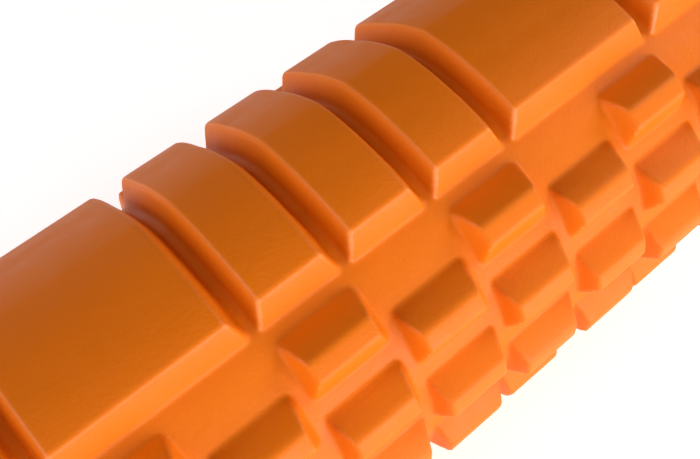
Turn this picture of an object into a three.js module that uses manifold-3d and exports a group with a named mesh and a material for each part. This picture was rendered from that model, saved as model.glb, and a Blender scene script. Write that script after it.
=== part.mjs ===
// Hollow foam roller: a rigid core tube, a film of contact adhesive, and a moulded EVA foam
// sleeve with a tread of large, narrow and small blocks.
// Millimetres, +Z up. The roller lies along X with its lowest blocks on Z = 0, and the origin is
// the point on the ground below its middle.
import * as THREE from "three";
import { mergeVertices } from "three/addons/utils/BufferGeometryUtils.js";
import Module from "manifold-3d";

// Overall size
const LENGTH = 330;
const TREAD_RADIUS = 70; // tops of the large and narrow blocks
const FLOOR_RADIUS = 61.4; // bottom of the grooves
const SMALL_RADIUS = 69.2; // tops of the small blocks

// Core tube and adhesive, from the inside out
const BORE_RADIUS = 50;
const CORE_WALL = 4;
const CORE_CHAMFER = 0.8;
const BOND_GAP = 0.3; // clearance on each side of the adhesive
const GLUE_THICKNESS = 0.3;
const CORE_RADIUS = BORE_RADIUS + CORE_WALL;
const GLUE_INNER_RADIUS = CORE_RADIUS + BOND_GAP;
const GLUE_OUTER_RADIUS = GLUE_INNER_RADIUS + GLUE_THICKNESS;
const SLEEVE_INNER_RADIUS = GLUE_OUTER_RADIUS + BOND_GAP;

// Tread along the axis: columns of equal pitch with a groove between neighbours. The small blocks
// stand a little to the right of the large blocks' columns.
const COLUMNS = 10;
const COLUMN_PITCH = LENGTH / COLUMNS;
const LARGE_GROOVE = 3;
const SMALL_GROOVE = 4.1;
const SMALL_SHIFT = 0.8;
const LARGE_BLOCK_COLUMNS = [1, 2, 1, 1, 1, 2, 1, 1]; // columns that each block of a band covers

// Tread around the axis: two bands of large blocks with two zones of small blocks between them.
// Angles are in degrees, counted from straight up towards -Y.
const BANDS = 2;
const BAND_TURN = 360 / BANDS;
const BAND_CENTRE = -18.6;
const BAND_SPAN = 79.5; // at the foot of the blocks
const ZONE_CENTRE = BAND_CENTRE + BAND_TURN / 2;
const ROW_PITCH = 24.3;
const ROWS_IN_EVEN_COLUMN = 3;
const ROWS_IN_ODD_COLUMN = 4;

// Sloping walls: how far the top edge stands in from the foot, at the left and the right in
// millimetres, and at the lower and the higher angle in degrees. The small blocks of a zone slope
// more gently on the side of the seam.
const LARGE_SIDE_RUNS = [3.1, 4.4];
const LARGE_END_RUNS = [5.85, 5.85];
const LARGE_TOP_STEPS = 11; // puts a flat of the tops, not a corner, at the lowest point
const SMALL_SPAN = 18.5; // degrees at the foot
const SMALL_SIDE_RUNS = [2.4, 3.9];
const SMALL_END_RUNS = [
  [7.6, 5.2],
  [5.2, 7.6],
];
const SMALL_TOP_STEPS = 1;
const ROOT_DEPTH = 2; // how far a block's root reaches below the groove floor

// Seam where the two ends of the wrapped sheet meet, in the middle of the first band. The stiff
// ends stand a little proud there, and one of them runs flat before it follows the tube again.
const SEAM_ANGLE = BAND_CENTRE;
const SEAM_GAP = 0.3;
const SEAM_RISE = 1.8;
const SEAM_LIFTS = [
  [-50, 0], // degrees from the seam, millimetres off the round shape
  [-34, 0.4],
  [-18.5, -0.4],
  [0, SEAM_RISE],
  [18, 0],
];

const ARC_STEP = 5; // degrees between the corners of a round outline
const FULL_TURN = 360;
const CUT_MARGIN = 1;

const wasm = await Module();
wasm.setup();

// A point on the roller from its place along the axis, its angle in degrees and its radius.
function rollerPoint(x, angle, radius) {
  const turn = THREE.MathUtils.degToRad(angle);
  return [x, -radius * Math.sin(turn), TREAD_RADIUS + radius * Math.cos(turn)];
}

// How far the sheet stands off its round shape at an angle.
function seamLift(angle) {
  const past = THREE.MathUtils.euclideanModulo(angle - SEAM_ANGLE + BAND_TURN, FULL_TURN) - BAND_TURN;
  const next = SEAM_LIFTS.findIndex(([place]) => place >= past);
  if (next < 1) return 0;
  const [from, low] = SEAM_LIFTS[next - 1];
  const [to, high] = SEAM_LIFTS[next];
  return THREE.MathUtils.mapLinear(past, from, to, low, high);
}

// A closed geometry's manifold solid.
function solidFrom(geometry) {
  const bare = geometry.clone();
  bare.deleteAttribute("normal");
  bare.deleteAttribute("uv");
  const merged = mergeVertices(bare, 1e-4);
  return new wasm.Manifold(
    new wasm.Mesh({
      numProp: 3,
      vertProperties: merged.attributes.position.array,
      triVerts: new Uint32Array(merged.index.array),
    }),
  );
}

// A manifold solid's geometry.
function geometryFrom(solid) {
  const mesh = solid.getMesh();
  const geometry = new THREE.BufferGeometry();
  geometry.setAttribute("position", new THREE.BufferAttribute(mesh.vertProperties, mesh.numProp));
  geometry.setIndex(new THREE.BufferAttribute(mesh.triVerts, 1));
  geometry.computeVertexNormals();
  return geometry;
}

// A tube about the roller's axis, from its profile of [radius, distance along the axis] corners.
function tubeGeometry(profile) {
  const outline = [...profile, profile[0]].map(([radius, along]) => new THREE.Vector2(radius, along));
  const geometry = new THREE.LatheGeometry(outline, FULL_TURN / ARC_STEP);
  geometry.rotateZ(-Math.PI / 2);
  geometry.translate(0, 0, TREAD_RADIUS);
  return geometry;
}

function coreTubeGeometry() {
  const end = LENGTH / 2;
  const chamferEnd = end - CORE_CHAMFER;
  return tubeGeometry([
    [BORE_RADIUS, -chamferEnd],
    [BORE_RADIUS + CORE_CHAMFER, -end],
    [CORE_RADIUS - CORE_CHAMFER, -end],
    [CORE_RADIUS, -chamferEnd],
    [CORE_RADIUS, chamferEnd],
    [CORE_RADIUS - CORE_CHAMFER, end],
    [BORE_RADIUS + CORE_CHAMFER, end],
    [BORE_RADIUS, chamferEnd],
  ]);
}

function glueFilmGeometry() {
  const end = LENGTH / 2;
  return tubeGeometry([
    [GLUE_INNER_RADIUS, -end],
    [GLUE_OUTER_RADIUS, -end],
    [GLUE_OUTER_RADIUS, end],
    [GLUE_INNER_RADIUS, end],
  ]);
}

// The plain sheet under the blocks, wrapped from one side of the seam round to the other.
function sheetSolid() {
  const halfGap = THREE.MathUtils.radToDeg(SEAM_GAP / 2 / FLOOR_RADIUS);
  const steps = FULL_TURN / ARC_STEP;
  const angles = Array.from({ length: steps + 1 }, (_, i) =>
    THREE.MathUtils.mapLinear(i, 0, steps, SEAM_ANGLE + halfGap, SEAM_ANGLE + FULL_TURN - halfGap),
  );
  const outer = angles.map((angle) => rollerPoint(0, angle, FLOOR_RADIUS + seamLift(angle)));
  const inner = angles.map((angle) => rollerPoint(0, angle, SLEEVE_INNER_RADIUS)).reverse();
  const outline = new THREE.Shape([...outer, ...inner].map(([, y, z]) => new THREE.Vector2(y, z)));
  const geometry = new THREE.ExtrudeGeometry(outline, { depth: LENGTH, bevelEnabled: false });
  // The outline's axes become Y and Z, and the depth runs along X.
  geometry.applyMatrix4(new THREE.Matrix4().set(0, 0, 1, -LENGTH / 2, 1, 0, 0, 0, 0, 1, 0, 0, 0, 0, 0, 1));
  return solidFrom(geometry);
}

// A block with four sloping walls, its foot on the groove floor between x0 and x1 and between the
// angles a0 and a1, and its top at topRadius, in from the foot by sideRuns and endRuns.
function blockSolid({ x0, x1, a0, a1, sideRuns, endRuns, topRadius, steps }) {
  const overrun = ROOT_DEPTH / (topRadius - FLOOR_RADIUS);
  const rootRadius = FLOOR_RADIUS - ROOT_DEPTH;
  const rootX = [x0 - overrun * sideRuns[0], x1 + overrun * sideRuns[1]];
  const topX = [x0 + sideRuns[0], x1 - sideRuns[1]];
  const points = [];
  const addPair = ([left, right], angle, radius) => {
    points.push(rollerPoint(left, angle, radius), rollerPoint(right, angle, radius));
    return [points.length - 2, points.length - 1];
  };
  const stations = Array.from({ length: steps + 1 }, (_, i) =>
    THREE.MathUtils.mapLinear(i, 0, steps, a0 + endRuns[0], a1 - endRuns[1]),
  );
  const tops = stations.map((angle) => addPair(topX, angle, topRadius + seamLift(angle)));
  const roots = [a0 - overrun * endRuns[0], ...stations, a1 + overrun * endRuns[1]].map((angle) =>
    addPair(rootX, angle, rootRadius),
  );
  const faces = [];
  const addQuad = (a, b, c, d) => faces.push(a, b, c, a, c, d);
  for (let i = 0; i < steps; i++) {
    addQuad(tops[i][0], tops[i + 1][0], tops[i + 1][1], tops[i][1]);
    addQuad(roots[i + 1][0], roots[i + 2][0], tops[i + 1][0], tops[i][0]);
    addQuad(tops[i][1], tops[i + 1][1], roots[i + 2][1], roots[i + 1][1]);
  }
  for (let i = 0; i < roots.length - 1; i++) {
    addQuad(roots[i][1], roots[i + 1][1], roots[i + 1][0], roots[i][0]);
  }
  const last = roots.length - 1;
  addQuad(roots[0][0], tops[0][0], tops[0][1], roots[0][1]);
  addQuad(tops[steps][0], roots[last][0], roots[last][1], tops[steps][1]);
  faces.push(roots[0][0], roots[1][0], tops[0][0], tops[0][1], roots[1][1], roots[0][1]);
  faces.push(roots[last - 1][0], roots[last][0], tops[steps][0]);
  faces.push(tops[steps][1], roots[last][1], roots[last - 1][1]);

  const geometry = new THREE.BufferGeometry();
  geometry.setAttribute("position", new THREE.Float32BufferAttribute(points.flat(), 3));
  geometry.setIndex(faces);
  return solidFrom(geometry);
}

// Where the foot of a block that covers some columns lies along the axis.
function columnSpan({ first, count, groove, shift }) {
  const start = -LENGTH / 2 + first * COLUMN_PITCH + shift;
  return { x0: start + groove / 2, x1: start + count * COLUMN_PITCH - groove / 2 };
}

function largeBlocks(band) {
  const centre = BAND_CENTRE + band * BAND_TURN;
  let column = 0;
  return LARGE_BLOCK_COLUMNS.map((count) => {
    const span = columnSpan({ first: column, count, groove: LARGE_GROOVE, shift: 0 });
    column += count;
    return blockSolid({
      ...span,
      a0: centre - BAND_SPAN / 2,
      a1: centre + BAND_SPAN / 2,
      sideRuns: LARGE_SIDE_RUNS,
      endRuns: LARGE_END_RUNS,
      topRadius: TREAD_RADIUS,
      steps: LARGE_TOP_STEPS,
    });
  });
}

function smallBlocks(band) {
  const zone = ZONE_CENTRE + band * BAND_TURN;
  const blocks = [];
  for (let column = 0; column < COLUMNS; column++) {
    const rows = column % 2 ? ROWS_IN_ODD_COLUMN : ROWS_IN_EVEN_COLUMN;
    for (let row = 0; row < rows; row++) {
      const centre = zone + (row - (rows - 1) / 2) * ROW_PITCH;
      blocks.push(
        blockSolid({
          ...columnSpan({ first: column, count: 1, groove: SMALL_GROOVE, shift: SMALL_SHIFT }),
          a0: centre - SMALL_SPAN / 2,
          a1: centre + SMALL_SPAN / 2,
          sideRuns: SMALL_SIDE_RUNS,
          endRuns: SMALL_END_RUNS[band],
          topRadius: SMALL_RADIUS,
          steps: SMALL_TOP_STEPS,
        }),
      );
    }
  }
  return blocks;
}

// The thin radial slot between the two butted ends of the sheet.
function seamSlot() {
  const depth = TREAD_RADIUS + SEAM_RISE + CUT_MARGIN;
  const geometry = new THREE.BoxGeometry(LENGTH + 2 * CUT_MARGIN, SEAM_GAP, depth);
  geometry.translate(0, 0, depth / 2);
  geometry.rotateX(THREE.MathUtils.degToRad(SEAM_ANGLE));
  geometry.translate(0, 0, TREAD_RADIUS);
  return solidFrom(geometry);
}

// The end trim keeps the root of the outermost blocks inside the sleeve's length.
function lengthTrim() {
  const width = 2 * (TREAD_RADIUS + CUT_MARGIN);
  const geometry = new THREE.BoxGeometry(LENGTH, width, width);
  geometry.translate(0, 0, TREAD_RADIUS);
  return solidFrom(geometry);
}

function foamSleeveGeometry() {
  let sleeve = sheetSolid();
  for (let band = 0; band < BANDS; band++) {
    for (const block of [...largeBlocks(band), ...smallBlocks(band)]) sleeve = sleeve.add(block);
  }
  return geometryFrom(sleeve.subtract(seamSlot()).intersect(lengthTrim()));
}

function part(name, geometry, color, roughness) {
  const mesh = new THREE.Mesh(geometry, new THREE.MeshStandardMaterial({ color, roughness, metalness: 0 }));
  mesh.name = name;
  return mesh;
}

const roller = new THREE.Group();
roller.add(
  part("core_tube", coreTubeGeometry(), 0x1d1d1f, 0.45),
  part("glue_film", glueFilmGeometry(), 0xc9a45c, 0.4),
  part("foam_sleeve", foamSleeveGeometry(), 0xe0701f, 0.55),
);

export default roller;
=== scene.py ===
"""Hollow foam roller: the looks of its moulded EVA foam sleeve, core tube and glue line.

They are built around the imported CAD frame, in metres, +Z up, with the roller lying along X.
Angles are in degrees, counted from straight up towards -Y.
"""
import math

import bpy
import numpy as np
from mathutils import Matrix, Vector


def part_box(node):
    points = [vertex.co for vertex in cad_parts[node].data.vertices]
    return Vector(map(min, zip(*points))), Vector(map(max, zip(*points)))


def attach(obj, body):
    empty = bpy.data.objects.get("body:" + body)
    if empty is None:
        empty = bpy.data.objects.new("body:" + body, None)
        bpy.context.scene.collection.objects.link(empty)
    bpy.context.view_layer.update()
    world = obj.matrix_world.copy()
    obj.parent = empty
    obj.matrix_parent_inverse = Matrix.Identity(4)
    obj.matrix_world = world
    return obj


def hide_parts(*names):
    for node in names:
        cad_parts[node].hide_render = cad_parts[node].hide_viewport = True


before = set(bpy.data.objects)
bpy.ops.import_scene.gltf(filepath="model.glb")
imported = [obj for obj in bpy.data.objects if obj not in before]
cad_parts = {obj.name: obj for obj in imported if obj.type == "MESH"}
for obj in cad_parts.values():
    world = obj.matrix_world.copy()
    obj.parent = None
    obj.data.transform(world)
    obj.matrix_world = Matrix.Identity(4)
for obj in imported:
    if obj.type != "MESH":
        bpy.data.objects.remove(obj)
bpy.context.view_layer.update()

MM = 0.001

# From the frame
sleeve_low, sleeve_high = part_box("foam_sleeve")
core_low, core_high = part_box("core_tube")
glue_low, glue_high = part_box("glue_film")
LENGTH = sleeve_high.x - sleeve_low.x
LEFT_END = sleeve_low.x
AXIS_Z = (core_low.z + core_high.z) / 2
CORE_RADIUS = (core_high.z - core_low.z) / 2
GLUE_OUTER_RADIUS = (glue_high.z - glue_low.z) / 2

# Sizes that the tread and the tube share with the CAD part
TREAD_RADIUS = 70 * MM
FLOOR_RADIUS = 61.4 * MM
SMALL_RADIUS = 69.2 * MM
BORE_RADIUS = 50 * MM
COLUMNS = 10
COLUMN_PITCH = LENGTH / COLUMNS
LARGE_GROOVE = 3.0 * MM
SMALL_GROOVE = 4.1 * MM
LARGE_BLOCK_COLUMNS = (1, 2, 1, 1, 1, 2, 1, 1)
BANDS = 2
FULL_TURN = 360.0
BAND_TURN = FULL_TURN / BANDS
BAND_CENTRE = -18.6
BAND_SPAN = 79.5
ROW_PITCH = 24.3
ROWS_IN_COLUMN = (3, 4)
LARGE_SIDE_RUNS = (3.1 * MM, 4.4 * MM)
LARGE_END_RUNS = (5.85, 5.85)
SMALL_SHIFT = 0.8 * MM
SMALL_SPAN = 18.5
SMALL_SIDE_RUNS = (2.4 * MM, 3.9 * MM)
SMALL_END_RUNS = (7.6, 5.2)
SEAM_ANGLE = BAND_CENTRE

# The sheet's ends stand proud at the seam, and one of them runs flat before it follows the tube
SEAM_LIFT_AT = (-50.0, -34.0, -18.5, 0.0, 18.0)  # degrees from the seam
SEAM_LIFT = (0.0, 0.4 * MM, -0.4 * MM, 1.8 * MM, 0.0)

# Rounding of the moulded edges
LARGE_EDGE = 1.7 * MM
SMALL_EDGE = 0.8 * MM
ROOT_EDGE = 1.1 * MM
END_EDGE = 0.6 * MM
LARGE_CORNER = (0.3, 0.2)  # share of the walls' run that upright corners are rounded over, foot and top
SMALL_CORNER = (0.5, 0.1)
LARGE_EASE = 0.05  # share of the end walls' height over which they level off into the top
SMALL_EASE = 0.13

# How finely the surface is worked out, and how the mesh's lines are spaced
FIELD_STEP = 0.3 * MM
FINE_LINE = 0.62 * MM
COARSE_LINE = 2.6 * MM
FINE_TURN = 0.72
COARSE_TURN = 2.6
PROBES = 20001  # places at which the spacing between lines is read
TOP_REACH = 3 * MM  # over which the lines spread out on the flat tops
END_REACH = 2 * MM  # and away from the roller's ends
END_LINE = END_EDGE / 5
TOP_MARGIN = 3  # degrees of a long top, next to its wall, that keep fine lines
TOP_TURN_REACH = 6
SEAM_TURN_REACH = 8

# The sleeve's cut ends
BOND_CLEARANCE = 0.15 * MM  # between the glue line and the foam
END_FACE_RINGS = 5
SEAM_NOTCH = 0.4 * MM  # how deep the seam pulls in at the ends
SEAM_NOTCH_TURN = 0.5
CUT_FACE_SLOPE = 0.98  # least share of a cut face's normal that points along the roller
FOAM_CREASE = 60  # edges that turn more than this stay sharp

# Core tube and glue line
CORE_RIM = 0.8 * MM
CORE_RIM_STEPS = 5
CORE_SIDES = 256
CORE_CREASE = 40
GLUE_SIDES = 360
GLUE_SETBACK = 0.5 * MM
GLUE_UNEVENNESS = 0.12 * MM
GLUE_WAVES = range(3, 40)
GLUE_BULGE = 0.1 * MM
GLUE_INNER_CLEARANCE = 0.05 * MM
GLUE_OUTER_SPREAD = 0.1 * MM
GLUE_SEED = 5

# Colours, as linear red, green and blue
FOAM = (0.81, 0.168, 0.0020)
FOAM_DEEP = (0.79, 0.162, 0.0016)
# painted highlight: a paler colour on the rounded edges that stands in for glints of light
FOAM_PAINTED_EDGE_HIGHLIGHT = (0.90, 0.26, 0.068)
# painted highlight: a paler colour in the creases at the blocks' feet, where light catches them
FOAM_PAINTED_FOOT_HIGHLIGHT = (0.90, 0.25, 0.035)
FOAM_CUT = (0.80, 0.20, 0.035)
CORE_BLACK = (0.022, 0.022, 0.025)
CORE_GREY = (0.034, 0.034, 0.038)
GLUE_DARK = (0.42, 0.26, 0.09)
GLUE_LIGHT = (0.62, 0.44, 0.20)
TABLE_DULL = (0.90, 0.90, 0.90)
TABLE_BRIGHT = (0.93, 0.93, 0.93)
WALL_GREY = (0.40, 0.40, 0.40)
GLOW_TABLE = (1.0, 1.0, 1.0)
GLOW_WALL = (0.30, 0.30, 0.30)

# Camera
CAMERA_AZIMUTH = -40.91
CAMERA_ELEVATION = 59.15
CAMERA_PLACE = (-119.9 * MM, -124.0 * MM, 373.0 * MM)
CAMERA_LENS = 50.27
CAMERA_SENSOR = 36

# Lamps: azimuth, elevation, width and height in metres, and watts
LAMPS = {
    "front": (15, 6, (0.8, 0.4), 15.2),
    "front_left": (-15, 6, (0.8, 0.4), 6.8),
    "left": (-90, 10, (0.62, 0.62), 7.6),
    "left_behind": (-105, 30, (0.62, 0.62), 6.2),
    "right": (75, 30, (0.62, 0.62), 9.4),
    "above": (-40, 55, (0.62, 0.62), 3.6),
    "behind": (180, 30, (0.62, 0.62), 2.3),
}
LAMP_DISTANCE = 1.5
ROOM_GLOW = 0.005
TABLE_GLOW = 0.47

# Table and the low wall round it
FLOOR_REACH = 3.0
FLOOR_MIDDLE = 0.001  # radius of the floor's middle face
WALL_HEIGHT = 0.7
WALL_BEND = WALL_HEIGHT * 0.8
WALL_FADE = WALL_HEIGHT * 0.6  # height over which the white turns grey
WALL_STEPS = 12
WALL_SIDES = 64


def wrapped(angle):
    """An angle or array of angles brought into -180 to 180 degrees."""
    return (np.asarray(angle) + FULL_TURN / 2) % FULL_TURN - FULL_TURN / 2


def seam_lift(turn):
    """How far the sheet stands off its round shape at each angle."""
    return np.interp(wrapped(turn - SEAM_ANGLE), SEAM_LIFT_AT, SEAM_LIFT)


# ---------------------------------------------------------------- tread surface
def rounded_corner(across, around, reaches):
    """The lower of two wall heights at each crossing, with a round corner where the walls meet."""
    apart = np.abs(across[:, None] - around[None, :])
    total = across[:, None] + around[None, :]
    lower = (total - apart) / 2
    reach = reaches[0] + (reaches[1] - reaches[0]) * np.clip(lower, 0, 1)
    corner = (total + np.sqrt(np.maximum(2 * reach**2 - apart**2, 0))) / 2 - reach
    return np.where(apart < reach, corner, lower)


def eased(height, ease):
    """Wall heights that level off at 1 in a soft bend instead of at a sharp edge."""
    bend = 1 - (1 + ease - height) ** 2 / (4 * ease)
    return np.where(height < 1 - ease, height, np.where(height > 1 + ease, 1, bend))


def raise_block(field, along, turn, start, stop, centre, span, side_runs, end_runs, top, corner, ease):
    """Raises one block with four sloping walls on the field of radii."""
    across = np.minimum((along - start) / side_runs[0], (stop - along) / side_runs[1])
    place = wrapped(turn - centre)
    around = np.minimum((span / 2 + place) / end_runs[0], (span / 2 - place) / end_runs[1])
    share = np.clip(rounded_corner(across, eased(around, ease), corner), 0, 1)
    np.maximum(field, FLOOR_RADIUS + (top - FLOOR_RADIUS) * share, out=field)


def large_blocks(along, turn):
    """The field of radii with the two bands of large and narrow blocks."""
    field = np.full((len(along), len(turn)), FLOOR_RADIUS, np.float32)
    for band in range(BANDS):
        column = 0
        for count in LARGE_BLOCK_COLUMNS:
            start = column * COLUMN_PITCH + LARGE_GROOVE / 2
            stop = (column + count) * COLUMN_PITCH - LARGE_GROOVE / 2
            raise_block(
                field, along, turn, start, stop, BAND_CENTRE + band * BAND_TURN, BAND_SPAN,
                LARGE_SIDE_RUNS, LARGE_END_RUNS, TREAD_RADIUS, LARGE_CORNER, LARGE_EASE,
            )
            column += count
    return field


def small_blocks(along, turn):
    """The field of radii with the staggered small blocks between the bands."""
    field = np.full((len(along), len(turn)), FLOOR_RADIUS, np.float32)
    for band in range(BANDS):
        zone = BAND_CENTRE + (band + 0.5) * BAND_TURN
        end_runs = SMALL_END_RUNS[::-1] if band else SMALL_END_RUNS
        for column in range(COLUMNS):
            start = column * COLUMN_PITCH + SMALL_GROOVE / 2 + SMALL_SHIFT
            stop = (column + 1) * COLUMN_PITCH - SMALL_GROOVE / 2 + SMALL_SHIFT
            rows = ROWS_IN_COLUMN[column % 2]
            for row in range(rows):
                centre = zone + (row - (rows - 1) / 2) * ROW_PITCH
                raise_block(
                    field, along, turn, start, stop, centre, SMALL_SPAN,
                    SMALL_SIDE_RUNS, end_runs, SMALL_RADIUS, SMALL_CORNER, SMALL_EASE,
                )
    return field


def ball(radius):
    """The cells under a ball resting on the field, each with the ball's height there."""
    reach = int(radius / FIELD_STEP)
    cells = [(i, j) for i in range(-reach, reach + 1) for j in range(-reach, reach + 1)]
    rise = [radius**2 - (i * i + j * j) * FIELD_STEP**2 for i, j in cells]
    return [(cell, np.float32(math.sqrt(r))) for cell, r in zip(cells, rise) if r >= 0]


def swell(field, cells):
    """The surface that the ball's top reaches as its centre follows the field."""
    out = np.full_like(field, -np.inf)
    for cell, rise in cells:
        np.maximum(out, np.roll(field, cell, (0, 1)) + rise, out=out)
    return out


def rounded_edges(field, radius):
    """Rolls a ball along the inside, which rounds every edge that stands out."""
    cells = ball(radius)
    return swell(-swell(-field, cells), cells)


def rounded_roots(field, radius):
    """Rolls a ball along the outside, which rounds every inner corner."""
    cells = ball(radius)
    return -swell(-swell(field, cells), cells)


def tread_field():
    """Radii on a fine even grid, with edge and root shares, all periodic in both directions."""
    n_along = round(LENGTH / FIELD_STEP)
    n_turn = round(math.tau * (FLOOR_RADIUS + TREAD_RADIUS) / 2 / FIELD_STEP)
    along = (np.arange(n_along) + 0.5) * LENGTH / n_along
    turn = (np.arange(n_turn) + 0.5) * FULL_TURN / n_turn
    lift = seam_lift(turn).astype(np.float32)
    large = large_blocks(along, turn) + lift
    small = small_blocks(along, turn) + lift
    sharp = np.maximum(large, small)
    soft = np.maximum(rounded_edges(large, LARGE_EDGE), rounded_edges(small, SMALL_EDGE))
    done = rounded_roots(soft, ROOT_EDGE)
    return along, turn, done, sharp - soft, done - soft


def sample(field, along, turn, at_along, at_turn):
    """The field at the crossings of two sets of lines."""
    step_along, step_turn = along[1] - along[0], turn[1] - turn[0]
    i = np.clip((at_along - along[0]) / step_along, 0, len(along) - 1.001)
    j = (at_turn - turn[0]) / step_turn
    i0, j0 = np.floor(i).astype(int), np.floor(j).astype(int)
    fi, fj = (i - i0)[:, None], (j - j0)[None, :]
    j1 = (j0 + 1) % len(turn)
    j0 = j0 % len(turn)
    low = field[np.ix_(i0, j0)] * (1 - fj) + field[np.ix_(i0, j1)] * fj
    high = field[np.ix_(i0 + 1, j0)] * (1 - fj) + field[np.ix_(i0 + 1, j1)] * fj
    return low * (1 - fi) + high * fi


def graded_lines(start, stop, spacing):
    """Lines from start to stop whose spacing follows a function of place."""
    probe = np.linspace(start, stop, PROBES)
    count = np.concatenate([[0], np.cumsum(np.diff(probe) / spacing((probe[1:] + probe[:-1]) / 2))])
    steps = round(count[-1])
    return np.interp(np.arange(steps + 1) / steps * count[-1], count, probe)


def blend_spacing(distance, reach, fine, coarse):
    """Fine at no distance, coarse from reach on, smooth between."""
    t = np.clip(distance / reach, 0, 1)
    return fine + (coarse - fine) * t * t * (3 - 2 * t)


def spacing_along(place):
    """Fine across the walls and grooves, coarse on the flat tops, finest at the roller's ends."""
    from_groove = np.abs((place + COLUMN_PITCH / 2) % COLUMN_PITCH - COLUMN_PITCH / 2)
    past_wall = from_groove - SMALL_GROOVE / 2 - max(LARGE_SIDE_RUNS) - LARGE_EDGE
    spacing = blend_spacing(np.maximum(past_wall, 0), TOP_REACH, FINE_LINE, COARSE_LINE)
    from_end = np.minimum(place, LENGTH - place)
    return np.minimum(spacing, blend_spacing(from_end, END_REACH, END_LINE, COARSE_LINE))


def spacing_turn(place):
    """Fine round the small blocks and the seam, coarse on the long tops of the large blocks."""
    from_band = np.abs((place - BAND_CENTRE + BAND_TURN / 2) % BAND_TURN - BAND_TURN / 2)
    inside_top = BAND_SPAN / 2 - max(LARGE_END_RUNS) - TOP_MARGIN - from_band
    spacing = blend_spacing(np.maximum(inside_top, 0), TOP_TURN_REACH, FINE_TURN, COARSE_TURN)
    from_seam = np.abs(wrapped(place - SEAM_ANGLE))
    return np.minimum(spacing, blend_spacing(from_seam, SEAM_TURN_REACH, FINE_TURN, COARSE_TURN))


# ---------------------------------------------------------------- meshes
def ring_mesh(name, rings, turn):
    """A closed ring-shaped mesh from [places along X, radii] rings, which join up last to first.

    Each ring's place and radius may be one number or one for each angle."""
    angles = np.radians(turn)
    n, m = len(rings), len(turn)
    points = np.zeros((n, m, 3))
    for k, (place, radius) in enumerate(rings):
        points[k, :, 0] = place
        points[k, :, 1] = -radius * np.sin(angles)
        points[k, :, 2] = AXIS_Z + radius * np.cos(angles)
    index = np.arange(n * m).reshape(n, m)
    after, beside = np.roll(index, -1, 0), np.roll(index, -1, 1)
    both = np.roll(after, -1, 1)
    faces = np.stack([index, beside, both, after], -1).reshape(-1, 4)
    mesh = bpy.data.meshes.new(name)
    mesh.from_pydata(points.reshape(-1, 3).tolist(), [], faces.tolist())
    mesh.validate()
    piece = bpy.data.objects.new(name, mesh)
    bpy.context.scene.collection.objects.link(piece)
    mesh.shade_smooth()
    return piece


def store(piece, name, values):
    """A value for each vertex, which the material reads."""
    attribute = piece.data.attributes.new(name, "FLOAT", "POINT")
    attribute.data.foreach_set("value", np.asarray(values, np.float32).ravel())


def end_rounding(place):
    """How far the surface drops at the rounded rim of the roller's ends."""
    inside = np.clip(np.minimum(place, LENGTH - place), 0, END_EDGE)
    return END_EDGE - np.sqrt(np.maximum(END_EDGE**2 - (END_EDGE - inside) ** 2, 0))


def foam_sleeve():
    """The moulded sheet as one closed surface: the tread, its cut ends and the side glued to the tube."""
    along, turn, field, edge, root = tread_field()
    lines = graded_lines(0, LENGTH, spacing_along)
    turns = graded_lines(SEAM_ANGLE, SEAM_ANGLE + FULL_TURN, spacing_turn)[:-1]
    radii = sample(field, along, turn, lines, turns) - end_rounding(lines)[:, None]
    inner = GLUE_OUTER_RADIUS + BOND_CLEARANCE
    rings = [(LEFT_END + x, r) for x, r in zip(lines, radii)]
    shares = np.linspace(0, 1, END_FACE_RINGS + 1)[1:]
    notch = SEAM_NOTCH * np.exp(-((wrapped(turns - SEAM_ANGLE) / SEAM_NOTCH_TURN) ** 2))
    right = [(LEFT_END + LENGTH - notch, radii[-1] + (inner - radii[-1]) * s) for s in shares]
    left = [(LEFT_END + notch, radii[0] + (inner - radii[0]) * s) for s in shares[::-1]]
    piece = ring_mesh("foam_sleeve_tread", rings + right + left, turns)
    blank = np.zeros((len(right) + len(left), len(turns)))
    store(piece, "edge", np.concatenate([sample(edge, along, turn, lines, turns), blank]))
    store(piece, "root", np.concatenate([sample(root, along, turn, lines, turns), blank]))
    piece.data.set_sharp_from_angle(angle=math.radians(FOAM_CREASE))
    return piece


def place_cut_faces(piece, material_index):
    """The end faces take the second material."""
    for face in piece.data.polygons:
        if abs(face.normal.x) > CUT_FACE_SLOPE and LENGTH / 2 - abs(face.center.x) < END_EDGE:
            face.material_index = material_index


def core_tube():
    """A drawn tube with small rounded rims."""
    start = LENGTH / 2 - CORE_RIM
    turns = np.linspace(0, FULL_TURN, CORE_SIDES + 1)[:-1]
    corner = [math.pi / 2 * k / CORE_RIM_STEPS for k in range(CORE_RIM_STEPS + 1)]
    quarter = [(CORE_RIM * math.sin(a), CORE_RIM * math.cos(a)) for a in corner]
    outer = [(start + sine, CORE_RADIUS - CORE_RIM + cosine) for sine, cosine in quarter]
    inner = [(start + cosine, BORE_RADIUS + CORE_RIM - sine) for sine, cosine in quarter]
    right = outer + inner
    left = [(-x, r) for x, r in reversed(right)]
    piece = ring_mesh("core_tube_shell", right + left, turns)
    piece.data.set_sharp_from_angle(angle=math.radians(CORE_CREASE))
    return piece


def glue_line():
    """The film of adhesive, a little uneven where it shows at the ends."""
    turns = np.linspace(0, FULL_TURN, GLUE_SIDES + 1)[:-1]
    rng = np.random.default_rng(GLUE_SEED)
    ends = []
    for _ in range(2):
        waves = sum(
            rng.normal() * np.sin(np.radians(turns) * k + rng.uniform(0, math.tau)) / k for k in GLUE_WAVES
        )
        ends.append(LENGTH / 2 - GLUE_SETBACK + GLUE_UNEVENNESS * waves)
    inner, outer = CORE_RADIUS + GLUE_INNER_CLEARANCE, GLUE_OUTER_RADIUS + GLUE_OUTER_SPREAD
    middle = (inner + outer) / 2
    rings = [
        (-ends[0], outer), (ends[1], outer), (ends[1] + GLUE_BULGE, middle),
        (ends[1], inner), (-ends[0], inner), (-ends[0] - GLUE_BULGE, middle),
    ]
    return ring_mesh("glue_line", rings, turns)


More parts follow.
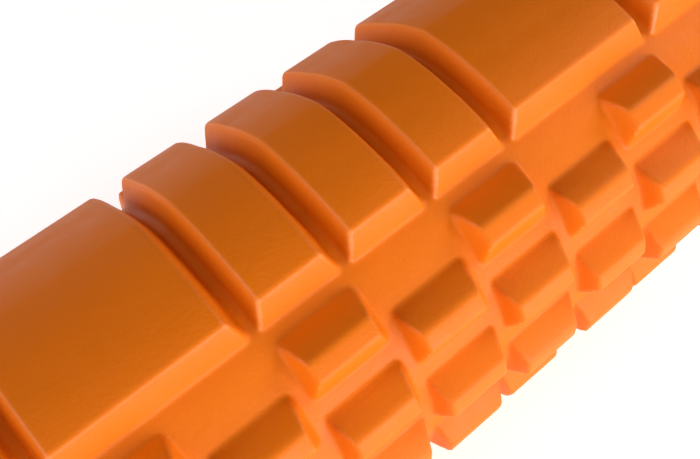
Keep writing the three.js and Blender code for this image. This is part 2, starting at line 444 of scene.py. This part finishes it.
# ---------------------------------------------------------------- materials
class Nodes:
    """A material's node tree, with short calls for what the materials here need."""

    def __init__(self, name):
        self.material = bpy.data.materials.new(name)
        self.material.use_nodes = True
        self.tree = self.material.node_tree
        self.shader = next(n for n in self.tree.nodes if n.type == "BSDF_PRINCIPLED")
        self.place = self.add("TexCoord").outputs["Object"]

    def add(self, kind, **settings):
        node = self.tree.nodes.new("ShaderNode" + kind)
        for key, value in settings.items():
            setattr(node, key, value)
        return node

    def link(self, source, target):
        self.tree.links.new(source, target)

    def noise(self, scale, detail=2.0, roughness=0.5):
        node = self.add("TexNoise")
        node.inputs["Scale"].default_value = scale
        node.inputs["Detail"].default_value = detail
        node.inputs["Roughness"].default_value = roughness
        self.link(self.place, node.inputs["Vector"])
        return node.outputs["Fac"]

    def ranged(self, value, low, high, to_low=0.0, to_high=1.0):
        node = self.add("MapRange", interpolation_type="SMOOTHSTEP")
        for key, number in (("From Min", low), ("From Max", high), ("To Min", to_low), ("To Max", to_high)):
            node.inputs[key].default_value = number
        self.link(value, node.inputs["Value"])
        return node.outputs["Result"]

    def mixed(self, share, first, second):
        """A colour mix, where first and second are a colour or another mix."""
        node = self.add("Mix", data_type="RGBA")
        self.link(share, node.inputs["Factor"])
        for key, value in ((6, first), (7, second)):
            if isinstance(value, tuple):
                node.inputs[key].default_value = (*value, 1)
            else:
                self.link(value, node.inputs[key])
        return node.outputs[2]

    def blended(self, share, first, second):
        """A number that goes from first to the plain number second."""
        node = self.add("Mix")
        self.link(share, node.inputs["Factor"])
        self.link(first, node.inputs["A"])
        node.inputs["B"].default_value = second
        return node.outputs["Result"]

    def attribute(self, name):
        return self.add("Attribute", attribute_name=name).outputs["Fac"]

    def bump(self, height, distance, strength=1.0, under=None):
        node = self.add("Bump")
        node.inputs["Distance"].default_value = distance
        node.inputs["Strength"].default_value = strength
        self.link(height, node.inputs["Height"])
        if under is not None:
            self.link(under, node.inputs["Normal"])
        return node.outputs["Normal"]


def foam_skin():
    """Matt moulded skin, smoother on its edges, with painted highlights: a paler colour on its edges and in
    the creases at the blocks' feet, where light catches them.
    """
    nodes = Nodes("eva_foam_skin")
    mottle = nodes.ranged(nodes.noise(scale=38, detail=4), 0.35, 0.68)
    colour = nodes.mixed(mottle, FOAM_DEEP, FOAM)
    # painted highlight on the rounded edges; the same mask also makes them less rough
    edge_polish_and_painted_highlight = nodes.ranged(nodes.attribute("edge"), 0.02 * MM, 0.3 * MM)
    # painted highlight in the creases at the blocks' feet
    painted_foot_highlight = nodes.ranged(nodes.attribute("root"), 0.14 * MM, 0.42 * MM, to_high=0.9)
    skin = nodes.mixed(painted_foot_highlight, nodes.mixed(edge_polish_and_painted_highlight, colour, FOAM_PAINTED_EDGE_HIGHLIGHT), FOAM_PAINTED_FOOT_HIGHLIGHT)
    nodes.link(skin, nodes.shader.inputs["Base Color"])
    matt = nodes.ranged(nodes.noise(scale=150, detail=3), 0.3, 0.7, to_low=0.48, to_high=0.56)
    nodes.link(nodes.blended(edge_polish_and_painted_highlight, matt, 0.25), nodes.shader.inputs["Roughness"])
    grain = nodes.bump(nodes.noise(scale=1000, detail=3), distance=0.35 * MM, strength=0.3)
    waves = nodes.bump(nodes.noise(scale=90, detail=2), distance=0.4 * MM, strength=0.5, under=grain)
    nodes.link(waves, nodes.shader.inputs["Normal"])
    nodes.shader.inputs["Specular IOR Level"].default_value = 0.2
    return nodes.material


def foam_cut():
    """The sawn end faces, where the foam's cells are open."""
    nodes = Nodes("eva_foam_cut")
    cells = nodes.add("TexVoronoi", feature="DISTANCE_TO_EDGE")
    cells.inputs["Scale"].default_value = 2200
    nodes.link(nodes.place, cells.inputs["Vector"])
    wall = nodes.ranged(cells.outputs["Distance"], 0.02, 0.25)
    colour = nodes.mixed(wall, FOAM_CUT, FOAM_DEEP)
    nodes.link(colour, nodes.shader.inputs["Base Color"])
    matt = nodes.ranged(nodes.noise(scale=300, detail=2), 0.3, 0.7, to_low=0.72, to_high=0.85)
    nodes.link(matt, nodes.shader.inputs["Roughness"])
    nodes.link(nodes.bump(wall, distance=-0.12 * MM, strength=0.6), nodes.shader.inputs["Normal"])
    return nodes.material


def core_plastic():
    """Satin black ABS."""
    nodes = Nodes("core_abs")
    colour = nodes.mixed(nodes.noise(scale=60, detail=3), CORE_BLACK, CORE_GREY)
    nodes.link(colour, nodes.shader.inputs["Base Color"])
    satin = nodes.ranged(nodes.noise(scale=220, detail=4), 0.3, 0.7, to_low=0.42, to_high=0.56)
    nodes.link(satin, nodes.shader.inputs["Roughness"])
    ripple = nodes.bump(nodes.noise(scale=900, detail=2), distance=0.02 * MM, strength=0.3)
    nodes.link(ripple, nodes.shader.inputs["Normal"])
    return nodes.material


def dried_glue():
    """Amber contact adhesive with a lumpy surface."""
    nodes = Nodes("dried_glue")
    colour = nodes.mixed(nodes.noise(scale=400, detail=3), GLUE_DARK, GLUE_LIGHT)
    nodes.link(colour, nodes.shader.inputs["Base Color"])
    gloss = nodes.ranged(nodes.noise(scale=700, detail=2), 0.3, 0.7, to_low=0.25, to_high=0.5)
    nodes.link(gloss, nodes.shader.inputs["Roughness"])
    lumps = nodes.bump(nodes.noise(scale=1200, detail=3), distance=0.1 * MM, strength=0.7)
    nodes.link(lumps, nodes.shader.inputs["Normal"])
    return nodes.material


def studio_white():
    """A lit white table, which glows a little as backlit acrylic does, and fades to grey up the wall."""
    nodes = Nodes("white_table")
    height = nodes.add("SeparateXYZ")
    nodes.link(nodes.place, height.inputs["Vector"])
    climb = nodes.ranged(height.outputs["Z"], 0.0, WALL_FADE)
    table = nodes.mixed(nodes.noise(scale=3, detail=2), TABLE_DULL, TABLE_BRIGHT)
    nodes.link(nodes.mixed(climb, table, WALL_GREY), nodes.shader.inputs["Base Color"])
    glow = nodes.mixed(climb, GLOW_TABLE, GLOW_WALL)
    nodes.link(glow, nodes.shader.inputs["Emission Color"])
    nodes.shader.inputs["Roughness"].default_value = 0.8
    nodes.shader.inputs["Specular IOR Level"].default_value = 0.2
    nodes.shader.inputs["Emission Strength"].default_value = TABLE_GLOW
    return nodes.material


# ---------------------------------------------------------------- studio
def direction(azimuth, elevation):
    """Where an azimuth, counted from -Y towards +X, and an elevation point, both in degrees."""
    azimuth, elevation = math.radians(azimuth), math.radians(elevation)
    return Vector((
        math.sin(azimuth) * math.cos(elevation),
        -math.cos(azimuth) * math.cos(elevation),
        math.sin(elevation),
    ))


def aim(piece, place, away):
    """Puts a camera or lamp in its place, looking against the direction away."""
    bpy.context.scene.collection.objects.link(piece)
    piece.location = place
    piece.rotation_mode = "QUATERNION"
    piece.rotation_quaternion = (-away).to_track_quat("-Z", "Y")


def camera():
    """Above the roller's left end, looking down and along it, close enough to fill the picture."""
    data = bpy.data.cameras.new("camera")
    data.lens = CAMERA_LENS
    data.sensor_width = CAMERA_SENSOR
    piece = bpy.data.objects.new("camera", data)
    aim(piece, Vector(CAMERA_PLACE), direction(CAMERA_AZIMUTH, CAMERA_ELEVATION))
    bpy.context.scene.camera = piece


def soft_box(name, azimuth, elevation, size, power):
    """A rectangular lamp aimed at the middle of the roller from LAMP_DISTANCE away."""
    data = bpy.data.lights.new(name, "AREA")
    data.shape = "RECTANGLE"
    data.size, data.size_y = size
    data.energy = power
    away = direction(azimuth, elevation)
    aim(bpy.data.objects.new(name, data), Vector((0, 0, AXIS_Z)) + away * LAMP_DISTANCE, away)


def backdrop():
    """A round floor that curves up into a low wall, so that no edge of it shows from the side."""
    profile = [(FLOOR_MIDDLE, 0.0)]
    for step in range(WALL_STEPS + 1):
        angle = math.pi / 2 * step / WALL_STEPS
        reach = FLOOR_REACH - WALL_BEND + WALL_BEND * math.sin(angle)
        profile.append((reach, WALL_BEND - WALL_BEND * math.cos(angle)))
    profile.append((FLOOR_REACH, WALL_HEIGHT))
    around = [math.tau * k / WALL_SIDES for k in range(WALL_SIDES)]
    points = [(r * math.cos(a), r * math.sin(a), z) for r, z in profile for a in around]
    faces = [tuple(range(WALL_SIDES))]
    for ring in range(len(profile) - 1):
        for k in range(WALL_SIDES):
            here, beside = ring * WALL_SIDES + k, ring * WALL_SIDES + (k + 1) % WALL_SIDES
            faces.append((here, here + WALL_SIDES, beside + WALL_SIDES, beside))
    mesh = bpy.data.meshes.new("floor")
    mesh.from_pydata(points, [], faces)
    mesh.shade_smooth()
    floor = bpy.data.objects.new("floor", mesh)
    bpy.context.scene.collection.objects.link(floor)
    mesh.materials.append(studio_white())


def studio():
    """A lit white table and seven soft boxes, of which the two low ones in front are the strongest."""
    scene = bpy.context.scene
    scene.view_settings.view_transform = "Standard"
    world = bpy.data.worlds.new("studio")
    scene.world = world
    world.use_nodes = True
    background = world.node_tree.nodes["Background"]
    background.inputs["Color"].default_value = (1, 1, 1, 1)
    background.inputs["Strength"].default_value = ROOM_GLOW
    for name, (azimuth, elevation, size, power) in LAMPS.items():
        soft_box(name, azimuth, elevation, size, power)
    backdrop()


def dress(piece, node, slot, *materials):
    """Gives a piece its materials and its place in the assembly."""
    for material in materials:
        piece.data.materials.append(material)
    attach(piece, "root")
    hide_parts(node)


sleeve = foam_sleeve()
dress(sleeve, "foam_sleeve", "foam", foam_skin(), foam_cut())
place_cut_faces(sleeve, 1)
dress(core_tube(), "core_tube", "core_plastic", core_plastic())
dress(glue_line(), "glue_film", "adhesive", dried_glue())
camera()
studio()
